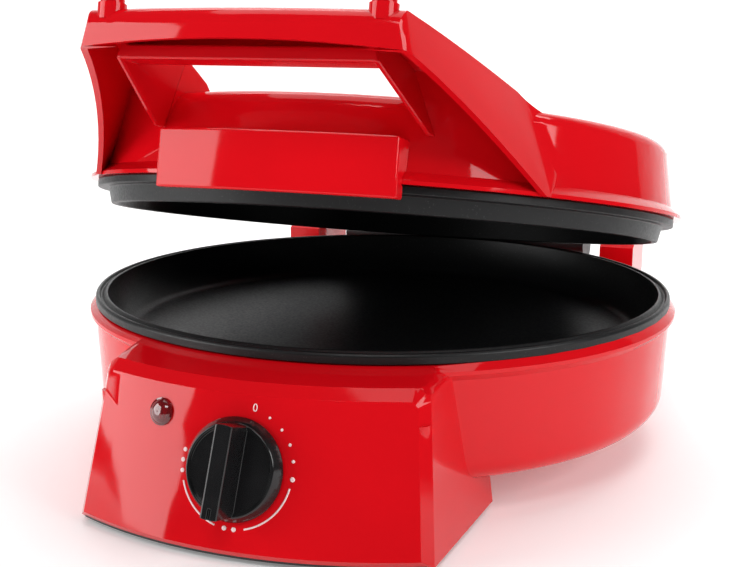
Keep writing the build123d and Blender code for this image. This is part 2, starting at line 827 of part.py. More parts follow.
# Pilot lamp behind its lens
with BuildPart() as indicator_lens:
    with BuildSketch(upright(lens_plane)):
        with BuildLine():
            ThreePointArc((0, lens_rise), (lens_r * 0.6, lens_rise * 0.82), (lens_r - 0.8, 1.1))
            Polyline(
                (lens_r - 0.8, 1.1),
                (lens_r, 0.8),
                (lens_r, 0),
                (lens_stem_r, 0),
                (lens_stem_r, -lens_stem_h),
                (0, -lens_stem_h),
                (0, lens_rise),
            )
        make_face()
    revolve(axis=Axis(lens_plane.origin, lens_plane.z_dir))
indicator_lens.part.label = "indicator_lens"
export_step(indicator_lens.part, "parts/indicator_lens.step")

with BuildPart() as indicator_lamp:
    with BuildSketch(lens_plane.offset(-lens_stem_h)):
        Circle(lens_stem_r - 0.5)
    extrude(amount=-lamp_len)
    with BuildSketch(lens_plane.offset(-lens_stem_h - lamp_len)):
        with Locations((-2, 0), (2, 0)):
            Circle(0.6)
    extrude(amount=-lamp_len / 2)
indicator_lamp.part.label = "indicator_lamp"
export_step(indicator_lamp.part, "parts/indicator_lamp.step")

# Terminal block on the front cover, with three pairs of screw wells
with BuildPart() as terminal_block:
    with BuildSketch(Plane.XY.offset(foot_z + cover_t)):
        with Locations((block_x, block_y)):
            Rectangle(block_len, block_w)
    extrude(amount=block_h)
    with BuildSketch(Plane.XY.offset(foot_z + cover_t + block_h)):
        with Locations((block_x, block_y)):
            with GridLocations(block_len / 3, block_w / 2, 3, 2):
                Circle(block_w / 7)
    extrude(amount=-block_h / 2, mode=Mode.SUBTRACT)
terminal_block.part.label = "terminal_block"
export_step(terminal_block.part, "parts/terminal_block.step")

# Cord gland in the rear leg's back wall
with BuildPart() as cord_gland:
    with BuildSketch(gland_plane):
        Circle(gland_r + 2.5)
    extrude(amount=2.2)
    with BuildSketch(gland_plane):
        Circle(gland_r)
    extrude(amount=-wall - 5)
    with BuildSketch(gland_plane.offset(-wall)):
        Circle(gland_r + 1.5)
    extrude(amount=-5)
    with BuildSketch(gland_plane.offset(3)):
        Circle(gland_bore_r)
    extrude(amount=-wall - 12, mode=Mode.SUBTRACT)
cord_gland.part.label = "cord_gland"
export_step(cord_gland.part, "parts/cord_gland.step")


def hood_outline(z, inset):
    """Outline of the hood in plan at lid height z, moved in by the inset, as a face."""
    share = z / hood_ref_h
    half_f = bar_half_low + (bar_half_top - bar_half_low) * share - inset
    half_w = wing_half_low + (wing_half_top - wing_half_low) * share - inset
    end_r = hood_end_low + (hood_end_top - hood_end_low) * share - inset
    a = radians(hood_turn_low + (hood_turn_top - hood_turn_low) * share)
    front = bar_front_y + bow_spare - inset
    bow_y = bow_r - bar_front_y - sqrt((bow_r + bow_spare - inset) ** 2 - half_f**2)
    with BuildSketch(lid_xy.offset(z)) as outline:
        with BuildLine():
            ThreePointArc((-half_f, bow_y), (0, -front), (half_f, bow_y))
            for side in (-1, 1):
                Line((side * half_f, bow_y), (side * half_w, -wing_root_y))
                Spline(
                    (side * half_w, -wing_root_y),
                    (side * end_r * cos(a), -end_r * sin(a)),
                    tangents=[(side * (half_w - half_f), -bow_y - wing_root_y), (side * sin(a), cos(a))],
                )
            Line((-end_r * cos(a), -end_r * sin(a)), (end_r * cos(a), -end_r * sin(a)))
        make_face()
        fillet([v for v in outline.vertices() if abs(v.Y - bow_y) < 0.1], end_round - inset)
    return outline.sketch.faces()[0]


def hood_profile(inset, low):
    """Side outline of the hood's top, lowered by the inset, closed down to a low line."""
    with BuildSketch(lid_yz) as profile:
        with BuildLine():
            ThreePointArc(
                (-bar_front_y - 1, hood_top - inset), (-hood_mid_y, hood_mid_h - inset), (-hood_rear_y, hood_rear_h - inset)
            )
            Polyline(
                (-hood_rear_y, hood_rear_h - inset),
                (-hood_end_y, hood_end_h - inset),
                (-hood_end_y, low),
                (-bar_front_y - 1, low),
                (-bar_front_y - 1, hood_top - inset),
            )
        make_face()
    return profile.sketch.faces()[0]


def hood_body(inset):
    """Solid form of the hood, moved in by the inset on its sides, front and top."""
    bow_axis = Axis(lid_xy.origin + lid_xy.y_dir * (bow_r - bar_front_y), lid_xy.z_dir)
    bow_plane = Plane(origin=bow_axis.position, x_dir=-lid_xy.y_dir, z_dir=-lid_xy.x_dir)
    tip = (bow_r - inset, hood_top - inset)
    back = 60
    with BuildPart() as body:
        loft(sections=[hood_outline(0, inset), hood_outline(hood_ref_h, inset)], ruled=True)
        extrude(hood_profile(inset, -1), amount=wing_half_low, both=True, mode=Mode.INTERSECT)
        with BuildSketch(bow_plane) as rounding:
            Polygon((0, -2), (tip[0], -2), tip, (tip[0] - back, tip[1] - bar_tilt * back), (0, tip[1] - bar_tilt * back), align=None)
            fillet(rounding.vertices().sort_by(lambda v: hypot(v.X - tip[0], v.Y - tip[1]))[0], hood_round - inset)
        revolve(axis=bow_axis, mode=Mode.INTERSECT)
    return body.part


def valley_body(extra, front):
    """Gap between the two grip walls, widened by an extra on each side."""
    with BuildPart() as body:
        with BuildSketch(lid_xz.offset(hood_end_y)):
            Polygon(
                (-grip_half_low - extra, grip_low_h),
                (grip_half_low + extra, grip_low_h),
                (grip_half_top + extra, hood_top + 1),
                (-grip_half_top - extra, hood_top + 1),
                align=None,
            )
            Rectangle(2 * (grip_half_low + extra), grip_low_h, align=(Align.CENTER, Align.MIN))
        extrude(amount=front - hood_end_y)
    return body.part


def lid_outer(grow):
    """Solid round lid, grown by a clearance: rim flange, flare, leaning wall, rounded corner and domed top."""
    corner = (dome_corner_r + grow, dome_corner_h + grow)
    mid = (dome_mid_r, dome_mid_h + grow)
    mid_tilt = 2 * (dome_top - dome_mid_h) / dome_mid_r
    with BuildPart() as body:
        with BuildSketch(lid_xz) as section:
            with BuildLine():
                Polyline(
                    (0, dome_top + grow),
                    (0, -grow),
                    (rim_r + grow, -grow),
                    (rim_r + grow, lid_flange_t + grow),
                    (lid_wall_r + grow, lid_flange_t + lid_flare_h),
                    corner,
                )
                TangentArc(mid, corner, tangent=(1, -mid_tilt))
                TangentArc((0, dome_top + grow), mid, tangent=(1, 0))
            make_face()
            fillet(section.vertices().sort_by(lambda v: hypot(v.X - corner[0], v.Y - corner[1]))[0], dome_round + grow)
        revolve(axis=lid_axis)
    return body.part


def tube_block(radius, low, high):
    """Plain cylinder about the lid's axis between two lid heights."""
    with BuildPart() as body:
        with BuildSketch(lid_xy.offset(low)):
            Circle(radius)
        extrude(amount=high - low)
    return body.part


# Space under the hood's skin, outside the round front wall and open below
with BuildPart() as hood_space:
    add(hood_body(lid_wall))
    add(tube_block(neck_wall_r, -2, hood_top + 2), mode=Mode.SUBTRACT)

# Everything below the wings' front edges and the bar's arched lower edge
with BuildPart() as under_cut:
    with BuildSketch(lid_yz):
        with BuildLine():
            ThreePointArc((-bar_y, bar_low_h), (-wing_arch_y, wing_arch_h), (-wing_root_y - 2, -1))
            Polyline(
                (-wing_root_y - 2, -1),
                (-wing_root_y - 2, -3),
                (-bar_front_y - 5, -3),
                (-bar_front_y - 5, bar_low_h),
                (-bar_y, bar_low_h),
            )
        make_face()
    extrude(amount=wing_half_low + 5, both=True)
    with BuildSketch(lid_xz.offset(bar_y - lid_wall - 6)):
        with BuildLine():
            ThreePointArc(
                (-bar_half_top - 3, bar_low_h), (0, bar_low_h + bar_arch), (bar_half_top + 3, bar_low_h)
            )
            Line((bar_half_top + 3, bar_low_h), (-bar_half_top - 3, bar_low_h))
        make_face()
    extrude(amount=20)

# Lid shell: round dome with its rim, hood, wings and hollow handle bar in one moulding
with BuildPart() as lid_shell:
    add(hood_body(0))
    add(under_cut.part, mode=Mode.SUBTRACT)
    add(valley_body(0, bar_front_y - bar_depth), mode=Mode.SUBTRACT)
    add(hood_space.part, mode=Mode.SUBTRACT)
    with BuildPart(mode=Mode.PRIVATE) as seat_cut:
        add(valley_body(liner_t + liner_gap, bar_front_y - bar_depth))
        add(tube_block(neck_wall_r, -2, hood_top + 2), mode=Mode.SUBTRACT)
    add(seat_cut.part, mode=Mode.SUBTRACT)
    add(lid_outer(0))
    with BuildSketch(lid_xz):
        Polygon(
            (0, -1),
            (lid_wall_r - lid_wall, -1),
            (lid_wall_r - lid_wall, lid_flange_t + lid_flare_h),
            (dome_corner_r - lid_wall, dome_corner_h - lid_wall - dome_round / 2),
            (dome_corner_r - lid_wall - dome_round / 2, dome_corner_h - lid_wall - 1),
            (dome_mid_r, dome_mid_h - lid_wall),
            (0, dome_top - lid_wall),
            align=None,
        )
    revolve(axis=lid_axis, mode=Mode.SUBTRACT)

    # Posts for the upper pan's screws and holes for the hinge screws
    with BuildSketch(lid_xy.offset(upper_dish_top)):
        with Locations(*stud_places):
            Circle(post_r)
    extrude(amount=dome_top - lid_wall - upper_dish_top)
    with BuildSketch(lid_xy.offset(upper_dish_top)):
        with Locations(*stud_places):
            Circle(screw_r + screw_play)
    extrude(amount=stud_bore, mode=Mode.SUBTRACT)
    for plane in hinge_screw_planes:
        with BuildSketch(plane.offset(-hinge_hole_back)):
            Circle(screw_r + screw_play)
        extrude(amount=2 * hinge_hole_back, mode=Mode.SUBTRACT)
lid_shell.part.label = "lid_shell"
export_step(lid_shell.part, "parts/lid_shell.step")

# Liner of the finger opening: two flaring grip walls, the bar's rear wall, and a strip with a lip under the bar
grip_low_half = grip_half_low - (grip_half_low - grip_half_top) * (liner_low_h - grip_low_h) / (hood_top + 1 - grip_low_h)
with BuildPart() as handle_liner:
    add(valley_body(liner_t, liner_front_y))
    add(valley_body(0, bar_front_y), mode=Mode.SUBTRACT)
    with BuildSketch(lid_xz.offset(bar_front_y - bar_depth - liner_t)):
        Polygon(
            (-grip_low_half, liner_low_h),
            (grip_low_half, liner_low_h),
            (grip_half_top, hood_top + 1),
            (-grip_half_top, hood_top + 1),
            align=None,
        )
    extrude(amount=liner_t)
    with BuildSketch(lid_yz):
        Polygon(
            (bar_depth - bar_front_y, liner_low_h),
            (bar_depth - bar_front_y, liner_low_h + liner_t),
            (liner_t - liner_front_y, liner_low_h + liner_t),
            (liner_t - liner_front_y, liner_low_h + lip_h),
            (-liner_front_y, liner_low_h + lip_h),
            (-liner_front_y, liner_low_h),
            align=None,
        )
    extrude(amount=grip_low_half, both=True)
    extrude(hood_profile(0, 0), amount=wing_half_low, both=True, mode=Mode.INTERSECT)
    with BuildSketch(lid_yz):
        Polygon(
            (-liner_front_y - 1, liner_low_h),
            (-liner_front_y, liner_low_h),
            (-liner_foot_y, liner_foot_h),
            (-hood_end_y, liner_foot_h),
            (-hood_end_y, -1),
            (-liner_front_y - 1, -1),
            align=None,
        )
        Polygon(
            (-liner_front_y - 1, liner_top_h),
            (bar_depth - bar_front_y, liner_top_h),
            (bar_depth - bar_front_y, hood_top + 1),
            (-liner_front_y - 1, hood_top + 1),
            align=None,
        )
    extrude(amount=wing_half_low, both=True, mode=Mode.SUBTRACT)
    add(tube_block(neck_wall_r + liner_gap, 0, hood_top + 5), mode=Mode.SUBTRACT)
    add(lid_outer(liner_gap), mode=Mode.SUBTRACT)
handle_liner.part.label = "handle_liner"
export_step(handle_liner.part, "parts/handle_liner.step")

# Apron over the rim in front, round the lid's wall and rim with a small clearance
with BuildPart() as front_apron:
    with BuildSketch(lid_xy.offset(-apron_bottom)):
        with Locations((0, apron_bow_r - apron_r)):
            Circle(apron_bow_r)
        Circle(apron_inner_r, mode=Mode.SUBTRACT)
    extrude(amount=apron_bottom + apron_top)
    with BuildSketch(lid_xy.offset(-apron_bottom)):
        with Locations((0, -apron_r)):
            Rectangle(2 * apron_half, apron_r)
    extrude(amount=apron_bottom + apron_top, mode=Mode.INTERSECT)
    with BuildSketch(lid_xy.offset(-apron_bottom)):
        Circle(apron_lip_r)
    extrude(amount=apron_bottom - liner_gap, mode=Mode.SUBTRACT)
    add(lid_outer(liner_gap), mode=Mode.SUBTRACT)
front_apron.part.label = "front_apron"
export_step(front_apron.part, "parts/front_apron.step")

# Stepped feet on the bar, on which the opened lid lies back, and their pads
foot_top_h = hood_top + button_h
button_places = [(-button_x, -button_y), (button_x, -button_y)]
with BuildPart() as handle_feet:
    with BuildSketch(lid_xy.offset(hood_top - button_sink)):
        with Locations(*button_places):
            Circle(button_r + button_step)
    extrude(amount=button_sink + button_step)
    with BuildSketch(lid_xy.offset(hood_top)):
        with Locations(*button_places):
            Circle(button_r)
    extrude(amount=button_h)
    add(hood_body(0), mode=Mode.SUBTRACT)
    with BuildSketch(lid_xy.offset(foot_top_h - 1)):
        with Locations(*button_places):
            Circle(button_r - 1.4)
    extrude(amount=2, mode=Mode.SUBTRACT)
handle_feet.part.label = "handle_feet"
export_step(handle_feet.part, "parts/handle_feet.step")

with BuildPart() as handle_foot_pads:
    with BuildSketch(lid_xy.offset(foot_top_h - 1)):
        with Locations(*button_places):
            Circle(button_r - 1.5)
    extrude(amount=1.6)
handle_foot_pads.part.label = "handle_foot_pads"
export_step(handle_foot_pads.part, "parts/handle_foot_pads.step")

# Upper pan: outer band under the lid's rim, hanging lip, shallow cavity, three screw holes
with BuildPart() as upper_pan:
    with BuildSketch(lid_xz):
        with BuildLine():
            Polyline(
                (0, upper_floor_h),
                (upper_floor_r, upper_floor_h),
                (upper_floor_r + 4.5, upper_floor_h - 2.6),
                (upper_lip_r - upper_lip_w, -upper_lip_drop),
                (upper_lip_r, -upper_lip_drop),
                (upper_skirt_r + 0.2, -band_h),
                (band_r, -band_h),
                (band_r, 0),
                (upper_lip_r - 2, 0),
                (upper_floor_r + 6, upper_floor_h),
                (upper_floor_r + 1, upper_floor_h + pan_wall),
                (0, upper_floor_h + pan_wall),
                close=True,
            )
        make_face()
    revolve(axis=lid_axis)
    with BuildSketch(lid_xy.offset(upper_floor_h + pan_wall / 2)):
        with Locations(*stud_places):
            Circle(stud_r)
    extrude(amount=upper_dish_z - upper_floor_h - pan_wall / 2)
    with BuildSketch(lid_xy.offset(upper_floor_h)):
        with Locations(*stud_places):
            Circle(screw_r + screw_play)
    extrude(amount=upper_dish_z - upper_floor_h, mode=Mode.SUBTRACT)
    with BuildSketch(lid_xy.offset(upper_floor_h)):
        with Locations(*stud_places):
            Circle(screw_head_r + 0.2)
    extrude(amount=screw_head_h, mode=Mode.SUBTRACT)
upper_pan.part.label = "upper_pan"
export_step(upper_pan.part, "parts/upper_pan.step")

upper_screw_seat = upper_floor_h + screw_head_h
upper_pan_screws = screws(stud_places, upper_screw_seat, upper_dish_top + stud_bore - 1 - upper_screw_seat, lid_xy)
upper_pan_screws.label = "upper_pan_screws"
export_step(upper_pan_screws, "parts/upper_pan_screws.step")

# Reflector dish over the upper heater, opening downwards
with BuildPart() as upper_reflector:
    with BuildSketch(lid_xz):
        Polygon(
            (0, upper_dish_z),
            (upper_dish_r - dish_flare, upper_dish_z),
            (upper_dish_r, upper_dish_rim),
            (upper_dish_r + sheet, upper_dish_rim),
            (upper_dish_r - dish_flare + sheet, upper_dish_top),
            (0, upper_dish_top),
            align=None,
        )
    revolve(axis=lid_axis)
    with BuildSketch(lid_xy.offset(upper_dish_z)):
        with Locations(*stud_places):
            Circle(screw_r + screw_play)
        with Locations(*[(x, -y) for x, y in leg_places]):
            Circle(rod_r + 1)
    extrude(amount=sheet, mode=Mode.SUBTRACT)
upper_reflector.part.label = "upper_reflector"
export_step(upper_reflector.part, "parts/upper_reflector.step")

upper_rod = rod_ring(heater_r, 0, rod_gap, upper_rod_rise)
upper_heater_foot = lid_xy.offset(upper_heater_z).origin
upper_heater_frame = Plane(origin=upper_heater_foot, x_dir=lid_xy.x_dir, z_dir=-lid_xy.z_dir)
upper_heater = upper_rod.moved(upper_heater_frame.location)
upper_heater.label = "upper_heater"
export_step(upper_heater, "parts/upper_heater.step")

# Cradles that hold the upper heater rod under its reflector
with BuildPart() as upper_heater_clips:
    for place in ring_places(heater_r, 3, 30):
        with BuildSketch(lid_xy.offset(upper_heater_z - 1)):
            with Locations(place):
                Rectangle(clip_w, clip_w)
        extrude(amount=upper_dish_z - upper_heater_z + 1)
    with BuildSketch(lid_xz):
        with Locations((heater_r, upper_heater_z)):
            Circle(rod_r + screw_play)
    revolve(axis=lid_axis, mode=Mode.SUBTRACT)
upper_heater_clips.part.label = "upper_heater_clips"
export_step(upper_heater_clips.part, "parts/upper_heater_clips.step")

# Hinge block behind the lid: barrel, hanging body and an arm to the lid's wall
with BuildPart() as hinge_block:
    with BuildSketch(lid_yz):
        with Locations((hinge_y, lid_hinge_z)):
            Circle(block_r)
        with Locations((block_front_y + block_depth / 2, block_low_h + block_tall / 2)):
            RectangleRounded(block_depth, block_tall, block_round)
        Polygon(
            (lid_wall_r * 0.9, block_arm_low),
            (block_front_y + block_depth / 2, block_arm_low),
            (block_front_y + block_depth / 2, block_arm_high),
            (lid_wall_r * 0.9, block_arm_high),
            align=None,
        )
    extrude(amount=block_half, both=True)
    add(lid_outer(liner_gap), mode=Mode.SUBTRACT)
    add(tube_block(rim_r + 1.5, -30, lid_flange_t + 0.6), mode=Mode.SUBTRACT)
    add(tube_block(dome_corner_r + liner_gap, 0, dome_corner_h), mode=Mode.SUBTRACT)
    for side in (-1, 1):
        with BuildSketch(Plane.YZ.offset(side * block_half)):
            with Locations((hinge_y, hinge_z)):
                Circle(pin_r + 0.02)
        extrude(amount=-side * pin_hold, mode=Mode.SUBTRACT)
    for plane in hinge_screw_planes:
        with BuildSketch(plane):
            Circle(screw_r + screw_play)
        extrude(amount=hinge_screw_len, mode=Mode.SUBTRACT)
hinge_block.part.label = "hinge_block"
export_step(hinge_block.part, "parts/hinge_block.step")

with BuildPart() as hinge_pins:
    for side in (-1, 1):
        with BuildSketch(Plane.YZ.offset(side * (block_half - pin_hold + pin_end_gap))):
            with Locations((hinge_y, hinge_z)):
                Circle(pin_r)
        extrude(amount=side * (arm_inner_x + pin_seat - 2 * pin_end_gap - block_half + pin_hold))
hinge_pins.part.label = "hinge_pins"
export_step(hinge_pins.part, "parts/hinge_pins.step")

with BuildPart() as hinge_screws:
    for plane in hinge_screw_planes:
        with BuildSketch(plane.offset(-lid_wall - hinge_head_gap)):
            Circle(screw_head_r)
        extrude(amount=-screw_head_h)
        with BuildSketch(plane.offset(-lid_wall - hinge_head_gap)):
            Circle(screw_r)
        extrude(amount=lid_wall + hinge_head_gap + hinge_screw_len - 1)
hinge_screws.part.label = "hinge_screws"
export_step(hinge_screws.part, "parts/hinge_screws.step")
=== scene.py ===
"""Looks of the pizza maker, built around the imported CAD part. Metres, row frame, table at z = 0."""

import json
import math

import bmesh
import bpy
from mathutils import Matrix, Vector


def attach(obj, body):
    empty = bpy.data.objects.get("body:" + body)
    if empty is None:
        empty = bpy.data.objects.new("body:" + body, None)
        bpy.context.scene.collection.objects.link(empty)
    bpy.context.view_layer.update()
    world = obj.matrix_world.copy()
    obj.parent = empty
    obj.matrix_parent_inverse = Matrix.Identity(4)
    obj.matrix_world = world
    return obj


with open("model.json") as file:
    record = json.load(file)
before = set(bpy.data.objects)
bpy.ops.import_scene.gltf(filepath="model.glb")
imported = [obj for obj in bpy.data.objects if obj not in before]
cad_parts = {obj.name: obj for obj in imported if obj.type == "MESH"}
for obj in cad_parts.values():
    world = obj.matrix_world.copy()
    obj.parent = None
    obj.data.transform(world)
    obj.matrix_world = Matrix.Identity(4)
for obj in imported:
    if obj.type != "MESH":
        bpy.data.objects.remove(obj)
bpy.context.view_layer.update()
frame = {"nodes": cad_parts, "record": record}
nodes = frame["nodes"]
scene = bpy.context.scene
scene.view_settings.view_transform = "Standard"

# Camera, worked out from the photograph
AIM = Vector((0, 0, 0.081))
AZIMUTH = math.radians(18.83)
ELEVATION = math.radians(12.2)
ROLL = 0.006
DISTANCE = 0.7016
FOCAL_PX = 1210.8
IMAGE_W = 756
SENSOR = 36.0
CENTRE_SHIFT = (-5.0 / IMAGE_W, 5.7 / IMAGE_W)
CLIP = (0.05, 20)


def make_camera():
    """The photograph's camera: position, roll, focal length and the shift of its centre."""
    data = bpy.data.cameras.new("camera")
    cam = bpy.data.objects.new("camera", data)
    scene.collection.objects.link(cam)
    back = Vector(
        (
            math.sin(AZIMUTH) * math.cos(ELEVATION),
            -math.cos(AZIMUTH) * math.cos(ELEVATION),
            math.sin(ELEVATION),
        )
    )
    right = Vector((math.cos(AZIMUTH), math.sin(AZIMUTH), 0))
    up = back.cross(right)
    rolled_right = right * math.cos(ROLL) + up * math.sin(ROLL)
    rolled_up = up * math.cos(ROLL) - right * math.sin(ROLL)
    matrix = Matrix((rolled_right, rolled_up, back)).transposed().to_4x4()
    matrix.translation = AIM + back * DISTANCE
    cam.matrix_world = matrix
    data.sensor_width = SENSOR
    data.lens = FOCAL_PX * SENSOR / IMAGE_W
    data.shift_x, data.shift_y = CENTRE_SHIFT
    data.clip_start, data.clip_end = CLIP
    scene.camera = cam


make_camera()

# Index of refraction of moulded plastic, coat and lens
PLASTIC_IOR = 1.5


def new_material(name, colour, roughness, metallic=0.0, **extra):
    """A material with its shader; extra holds socket names with _ for spaces."""
    mat = bpy.data.materials.new(name)
    mat.use_nodes = True
    shader = mat.node_tree.nodes["Principled BSDF"]
    shader.inputs["Base Color"].default_value = (*colour, 1)
    shader.inputs["Roughness"].default_value = roughness
    shader.inputs["Metallic"].default_value = metallic
    for socket, value in extra.items():
        shader.inputs[socket.replace("_", " ")].default_value = value
    return mat, mat.node_tree, shader


def object_coords(tree, stretch=(1, 1, 1)):
    """Object coordinates times a stretch along each axis, as a socket."""
    coords = tree.nodes.new("ShaderNodeTexCoord")
    mapping = tree.nodes.new("ShaderNodeMapping")
    mapping.inputs["Scale"].default_value = stretch
    tree.links.new(coords.outputs["Object"], mapping.inputs["Vector"])
    return mapping.outputs["Vector"]


def noise(tree, scale, detail=2.0, roughness=0.5, stretch=(1, 1, 1)):
    """Noise value socket of a scale in cells per metre."""
    node = tree.nodes.new("ShaderNodeTexNoise")
    node.inputs["Scale"].default_value = scale
    node.inputs["Detail"].default_value = detail
    node.inputs["Roughness"].default_value = roughness
    tree.links.new(object_coords(tree, stretch), node.inputs["Vector"])
    return node.outputs["Fac"]


def ramp(tree, value, stops):
    """Colour ramp over a value; stops are (place, colour) pairs."""
    node = tree.nodes.new("ShaderNodeValToRGB")
    for element, (place, colour) in zip(node.color_ramp.elements, stops):
        element.position = place
        element.color = (*colour, 1)
    tree.links.new(value, node.inputs["Fac"])
    return node.outputs["Color"]


def vary_colour(tree, shader, value, stops):
    """Base colour that follows a value over a colour ramp."""
    tree.links.new(ramp(tree, value, stops), shader.inputs["Base Color"])


def vary_roughness(tree, shader, value, low, high):
    """Roughness that runs from low to high over the middle of a noise value."""
    node = tree.nodes.new("ShaderNodeMapRange")
    node.inputs["From Min"].default_value = 0.3
    node.inputs["From Max"].default_value = 0.7
    node.inputs["To Min"].default_value = low
    node.inputs["To Max"].default_value = high
    tree.links.new(value, node.inputs["Value"])
    tree.links.new(node.outputs["Result"], shader.inputs["Roughness"])


def bump(tree, shader, value, strength, depth):
    """Bump of a depth in metres on the shader's normal."""
    node = tree.nodes.new("ShaderNodeBump")
    node.inputs["Strength"].default_value = strength
    node.inputs["Distance"].default_value = depth
    tree.links.new(value, node.inputs["Height"])
    tree.links.new(node.outputs["Normal"], shader.inputs["Normal"])


def gloss_red(name, colour, roughness):
    """Glossy moulded plastic: faint waviness in its gloss and a slight drift of colour."""
    mat, tree, shader = new_material(name, colour, roughness, IOR=PLASTIC_IOR, Specular_IOR_Level=0.34)
    dark = tuple(c * 0.94 for c in colour)
    light = tuple(min(1, c * 1.03) for c in colour)
    vary_colour(tree, shader, noise(tree, 9, 3), [(0.35, dark), (0.65, light)])
    vary_roughness(tree, shader, noise(tree, 60, 4), roughness * 0.8, roughness * 1.3)
    bump(tree, shader, noise(tree, 90), 0.10, 0.00010)
    return mat


def speckled_coat(name, colour, fleck, roughness):
    """Non-stick coat: dark satin with fine paler flecks and a slight grain."""
    mat, tree, shader = new_material(name, colour, roughness, IOR=PLASTIC_IOR, Specular_IOR_Level=0.30)
    cells = tree.nodes.new("ShaderNodeTexVoronoi")
    cells.inputs["Scale"].default_value = 850
    tree.links.new(object_coords(tree), cells.inputs["Vector"])
    flecks = ramp(tree, cells.outputs["Distance"], [(0.08, fleck), (0.24, colour)])
    patches = ramp(tree, noise(tree, 500), [(0.46, (0, 0, 0)), (0.60, (1, 1, 1))])
    mix = tree.nodes.new("ShaderNodeMix")
    mix.data_type = "RGBA"
    mix.inputs["A"].default_value = (*colour, 1)
    tree.links.new(patches, mix.inputs["Factor"])
    tree.links.new(flecks, mix.inputs["B"])
    tree.links.new(mix.outputs["Result"], shader.inputs["Base Color"])
    vary_roughness(tree, shader, noise(tree, 700, 3), roughness - 0.06, roughness + 0.1)
    bump(tree, shader, noise(tree, 1500, 3), 0.25, 0.00008)
    return mat


def plain_plastic(name, colour, roughness, grain=1200, depth=0.00006):
    """Moulded plastic with a fine grain."""
    mat, tree, shader = new_material(name, colour, roughness)
    pale = tuple(c * 1.25 + 0.002 for c in colour)
    vary_roughness(tree, shader, noise(tree, 80, 3), roughness - 0.05, roughness + 0.06)
    vary_colour(tree, shader, noise(tree, 14, 3), [(0.3, colour), (0.75, pale)])
    bump(tree, shader, noise(tree, grain), 0.3, depth)
    return mat


def metal(name, colour, roughness, stretch=(1, 1, 12)):
    """Metal with brushed grain along one way."""
    mat, tree, shader = new_material(name, colour, roughness, 1.0)
    grain = noise(tree, 160, 4, 0.6, stretch)
    dark = tuple(c * 0.85 for c in colour)
    vary_roughness(tree, shader, grain, roughness - 0.08, roughness + 0.12)
    vary_colour(tree, shader, noise(tree, 30, 3), [(0.3, dark), (0.7, colour)])
    bump(tree, shader, grain, 0.12, 0.00005)
    return mat


def lens_material():
    """Clear red moulded lens over a dark lamp room."""
    mat, tree, shader = new_material(
        "lens_red", (0.22, 0.002, 0.006), 0.06, IOR=PLASTIC_IOR, Transmission_Weight=0.35, Coat_Weight=1.0
    )
    vary_colour(tree, shader, noise(tree, 260), [(0.35, (0.13, 0.001, 0.003)), (0.7, (0.30, 0.004, 0.010))])
    return mat


SHELL_RED = (0.70, 0.0035, 0.0085)
# Liner red: the shell's gloss red painted darker, as painted shade for the recess under the handle bar
SHADED_LINER_RED = (0.62, 0.0035, 0.008)
COAT_BLACK = (0.0060, 0.0063, 0.0068)
COAT_FLECK = (0.060, 0.062, 0.064)
KNOB_BLACK = (0.006, 0.006, 0.0065)
LOOKS = {
    "red_shell": gloss_red("red_gloss", SHELL_RED, 0.055),
    # The liner is the shell's plastic, with painted shade darkening its colour
    "red_liner": gloss_red("red_liner_shaded_gloss", SHADED_LINER_RED, 0.07),
    "red_lens": lens_material(),
    "black_knob": plain_plastic("knob_black", KNOB_BLACK, 0.16, 500, 0.00002),
    "black_plastic": plain_plastic("black_grained", (0.016, 0.016, 0.017), 0.42),
    "nonstick": speckled_coat("nonstick_coat", COAT_BLACK, COAT_FLECK, 0.36),
    "pad_rubber": plain_plastic("rubber_black", (0.02, 0.02, 0.02), 0.7, 900, 0.0001),
    "bright_sheet": metal("aluminium_sheet", (0.78, 0.78, 0.79), 0.3),
    "heater_tube": metal("heater_steel", (0.26, 0.245, 0.235), 0.48),
    "zinc_steel": metal("zinc_steel", (0.60, 0.60, 0.58), 0.3),
    "lamp_glass": plain_plastic("lamp_amber", (0.5, 0.18, 0.08), 0.15),
    "light_insulation": plain_plastic("bakelite_cream", (0.55, 0.50, 0.42), 0.5),
}

PRINT_WHITE = plain_plastic("printed_marks", (0.86, 0.62, 0.62), 0.35, 900, 0.00001)

# Width of the soft edge of each node that shows
EDGE_ROUND = {
    "lid_shell": 0.0009,
    "base_housing": 0.0009,
    "handle_liner": 0.0008,
    "front_apron": 0.0012,
    "handle_feet": 0.0005,
    "handle_foot_pads": 0.0003,
    "lower_pan": 0.0006,
    "upper_pan": 0.0006,
    "hinge_block": 0.0010,
    "control_knob": 0.0005,
    "rubber_feet": 0.0005,
    "front_cover": 0.0003,
    "rear_cover": 0.0003,
}
WELD_DISTANCE = 0.000002
FLAT_ANGLE = math.radians(0.6)
EDGE_ANGLE = math.radians(32)


def round_edges(node, width):
    """Soft moulded edges on a CAD node: flat stretches joined, then each sharp edge rounded a little."""
    if "custom_normal" in node.data.attributes:
        node.data.attributes.remove(node.data.attributes["custom_normal"])
    for face in node.data.polygons:
        face.use_smooth = True
    weld = node.modifiers.new("weld", "WELD")
    weld.merge_threshold = WELD_DISTANCE
    flat = node.modifiers.new("flat", "DECIMATE")
    flat.decimate_type = "DISSOLVE"
    flat.angle_limit = FLAT_ANGLE
    rounding = node.modifiers.new("rounding", "BEVEL")
    rounding.width = width
    rounding.segments = 2
    rounding.limit_method = "ANGLE"
    rounding.angle_limit = EDGE_ANGLE
    rounding.use_clamp_overlap = True
    rounding.miter_outer = "MITER_ARC"
    rounding.harden_normals = True
    normals = node.modifiers.new("normals", "WEIGHTED_NORMAL")
    normals.keep_sharp = True


slot_of = {part["node"]: part["material_slot"] for part in frame["record"]["subparts"]}
for name, node in nodes.items():
    node.data.materials.clear()
    node.data.materials.append(LOOKS[slot_of[name]])
    if name in EDGE_ROUND:
        round_edges(node, EDGE_ROUND[name])

